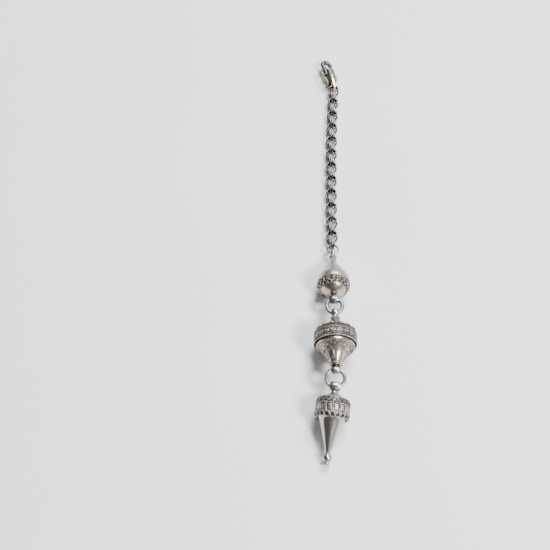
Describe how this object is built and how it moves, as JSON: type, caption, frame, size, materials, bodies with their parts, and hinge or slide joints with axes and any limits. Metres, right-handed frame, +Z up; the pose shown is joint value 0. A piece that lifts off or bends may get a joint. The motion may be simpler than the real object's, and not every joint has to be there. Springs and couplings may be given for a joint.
{
  "type": "prayer wheel pendant",
  "caption": "Silver pendant prayer wheel: a spring dog clip and curb chain carry a ball bead, a wide drum that spins on its axle and a long pointed drop, joined by rings.",
  "frame": {"origin": "on the surface it lies on, under the middle of its bounding box", "axes": "+Y along the pendant from the drop towards the clip, +Z up from the surface, +X sideways"},
  "size_m": [0.017, 0.1918, 0.0174],
  "materials": {
    "dark_silver": "oxidised, worn bright on the high spots",
    "bright_silver": "worn polish",
    "satin_silver": "satin with dark recesses",
    "warm_silver": "smooth, warm tarnish",
    "spring_steel": "plain",
    "paper": "matt rolled paper"
  },
  "bodies": {
    "clip": {"clip_hook": "dark_silver", "gate_pin": "bright_silver", "gate_spring": "spring_steel", "swivel_stud": "bright_silver"},
    "gate": {"gate_lever": "dark_silver"},
    "swivel": {"swivel_collar": "bright_silver", "swivel_bail": "bright_silver"},
    "link_01": {"chain_link_01a": "dark_silver", "chain_link_01b": "dark_silver"},
    "link_02": {"chain_link_02a": "dark_silver", "chain_link_02b": "dark_silver"},
    "link_03": {"chain_link_03a": "dark_silver", "chain_link_03b": "dark_silver"},
    "link_04": {"chain_link_04a": "dark_silver", "chain_link_04b": "dark_silver"},
    "link_05": {"chain_link_05a": "dark_silver", "chain_link_05b": "dark_silver"},
    "link_06": {"chain_link_06a": "dark_silver", "chain_link_06b": "dark_silver"},
    "link_07": {"chain_link_07a": "dark_silver", "chain_link_07b": "dark_silver"},
    "link_08": {"chain_link_08a": "dark_silver", "chain_link_08b": "dark_silver"},
    "link_09": {"chain_link_09a": "dark_silver", "chain_link_09b": "dark_silver"},
    "link_10": {"chain_link_10a": "dark_silver", "chain_link_10b": "dark_silver"},
    "link_11": {"chain_link_11a": "dark_silver", "chain_link_11b": "dark_silver"},
    "link_12": {"chain_link_12a": "dark_silver", "chain_link_12b": "dark_silver"},
    "end_ring": {"chain_end_ring": "bright_silver"},
    "ball_bead": {"bead_top_eye": "bright_silver", "bead_neck_shell": "satin_silver", "bead_lower_bowl": "warm_silver", "bead_gallery": "satin_silver", "bead_bottom_eye": "dark_silver"},
    "upper_ring": {"upper_jump_ring": "dark_silver"},
    "spindle": {"wheel_axle": "bright_silver", "wheel_top_eye": "bright_silver", "wheel_bottom_eye": "bright_silver"},
    "drum": {"wheel_crown": "satin_silver", "wheel_upper_shell": "satin_silver", "wheel_drum_wall": "satin_silver", "wheel_upper_rim_wire": "bright_silver", "wheel_lower_rim_wire": "bright_silver", "wheel_rosettes": "bright_silver", "wheel_base_ring": "warm_silver", "wheel_lower_shell": "warm_silver", "prayer_scroll": "paper"},
    "lower_ring": {"lower_jump_ring": "bright_silver"},
    "drop": {"drop_eye": "bright_silver", "drop_cap": "satin_silver", "drop_upper_gallery": "satin_silver", "drop_band": "bright_silver", "drop_ribs": "bright_silver", "drop_lower_gallery": "satin_silver", "drop_cone": "warm_silver", "drop_finial_ball": "bright_silver", "drop_finial_button": "bright_silver"}
  },
  "joints": [
    {"name": "gate_pivot", "type": "hinge", "parent": "clip", "child": "gate", "pos_m": [0.00223, 0.08783, 0.00279], "axis": [0.3349, 0.0694, 0.9397], "range_deg": [0, 14], "stiffness_Nm_per_rad": 0.02, "springref_deg": -17.19},
    {"name": "swivel_turn", "type": "hinge", "parent": "clip", "child": "swivel", "pos_m": [0.00273, 0.08497, 0.00283], "axis": [-0.2028, 0.9792, 0], "continuous": true},
    {"name": "link_01_swing", "type": "hinge", "parent": "swivel", "child": "link_01", "pos_m": [0.00349, 0.07873, 0.00262], "axis": [-0.08, 0.1097, -0.9907], "range_deg": [-30, 30]},
    {"name": "link_02_swing", "type": "hinge", "parent": "link_01", "child": "link_02", "pos_m": [0.00321, 0.07456, 0.00218], "axis": [0.9946, -0.0573, -0.0867], "range_deg": [-30, 30]},
    {"name": "link_03_swing", "type": "hinge", "parent": "link_02", "child": "link_03", "pos_m": [0.00262, 0.06478, 0.00204], "axis": [0.087, -0.0048, 0.9962], "range_deg": [-30, 30]},
    {"name": "link_04_swing", "type": "hinge", "parent": "link_03", "child": "link_04", "pos_m": [0.00238, 0.06058, 0.00204], "axis": [-0.9947, 0.0553, 0.0872], "range_deg": [-30, 30]},
    {"name": "link_05_swing", "type": "hinge", "parent": "link_04", "child": "link_05", "pos_m": [0.00189, 0.0508, 0.00204], "axis": [-0.0871, 0.0039, -0.9962], "range_deg": [-30, 30]},
    {"name": "link_06_swing", "type": "hinge", "parent": "link_05", "child": "link_06", "pos_m": [0.00171, 0.0466, 0.00204], "axis": [0.9952, -0.0441, -0.0872], "range_deg": [-30, 30]},
    {"name": "link_07_swing", "type": "hinge", "parent": "link_06", "child": "link_07", "pos_m": [0.00133, 0.03681, 0.00204], "axis": [0.0871, -0.0029, 0.9962], "range_deg": [-30, 30]},
    {"name": "link_08_swing", "type": "hinge", "parent": "link_07", "child": "link_08", "pos_m": [0.00119, 0.03261, 0.00204], "axis": [-0.9956, 0.033, 0.0872], "range_deg": [-30, 30]},
    {"name": "link_09_swing", "type": "hinge", "parent": "link_08", "child": "link_09", "pos_m": [0.00092, 0.02281, 0.00204], "axis": [-0.0871, 0.0019, -0.9962], "range_deg": [-30, 30]},
    {"name": "link_10_swing", "type": "hinge", "parent": "link_09", "child": "link_10", "pos_m": [0.00083, 0.01862, 0.00204], "axis": [0.996, -0.0219, -0.0872], "range_deg": [-30, 30]},
    {"name": "link_11_swing", "type": "hinge", "parent": "link_10", "child": "link_11", "pos_m": [0.00067, 0.00882, 0.00209], "axis": [0.0875, 0.0338, 0.9956], "range_deg": [-30, 30]},
    {"name": "link_12_swing", "type": "hinge", "parent": "link_11", "child": "link_12", "pos_m": [0.00062, 0.00462, 0.00223], "axis": [-0.9961, 0.0138, 0.0871], "range_deg": [-30, 30]},
    {"name": "end_ring_swing", "type": "hinge", "parent": "link_12", "child": "end_ring", "pos_m": [0.00058, -0.00237, 0.00267], "axis": [0.9961, -0.0113, -0.0869], "range_deg": [-30, 30]},
    {"name": "ball_bead_swing", "type": "hinge", "parent": "end_ring", "child": "ball_bead", "pos_m": [0.00057, -0.00732, 0.00361], "axis": [0.9998, -0.0175, 0], "range_deg": [-60, 60]},
    {"name": "upper_ring_swing", "type": "hinge", "parent": "ball_bead", "child": "upper_ring", "pos_m": [0.00015, -0.03115, 0.00782], "axis": [-0.9998, 0.0175, 0], "range_deg": [-60, 60]},
    {"name": "wheel_swing", "type": "hinge", "parent": "upper_ring", "child": "spindle", "pos_m": [0.00031, -0.03381, 0.00766], "axis": [0.0035, -0.0575, 0.9983], "range_deg": [-45, 45]},
    {"name": "drum_spin", "type": "hinge", "parent": "spindle", "child": "drum", "pos_m": [0.0001, -0.0514, 0.00866], "axis": [0.0261, 0.9966, -0.0785], "continuous": true},
    {"name": "lower_ring_swing", "type": "hinge", "parent": "spindle", "child": "lower_ring", "pos_m": [-0.00017, -0.06186, 0.00948], "axis": [0.9997, -0.0262, 0], "range_deg": [-60, 60]},
    {"name": "drop_swing", "type": "hinge", "parent": "lower_ring", "child": "drop", "pos_m": [-0.00034, -0.06501, 0.0091], "axis": [0.0064, 0.1217, -0.9925], "range_deg": [-45, 45]}
  ]
}
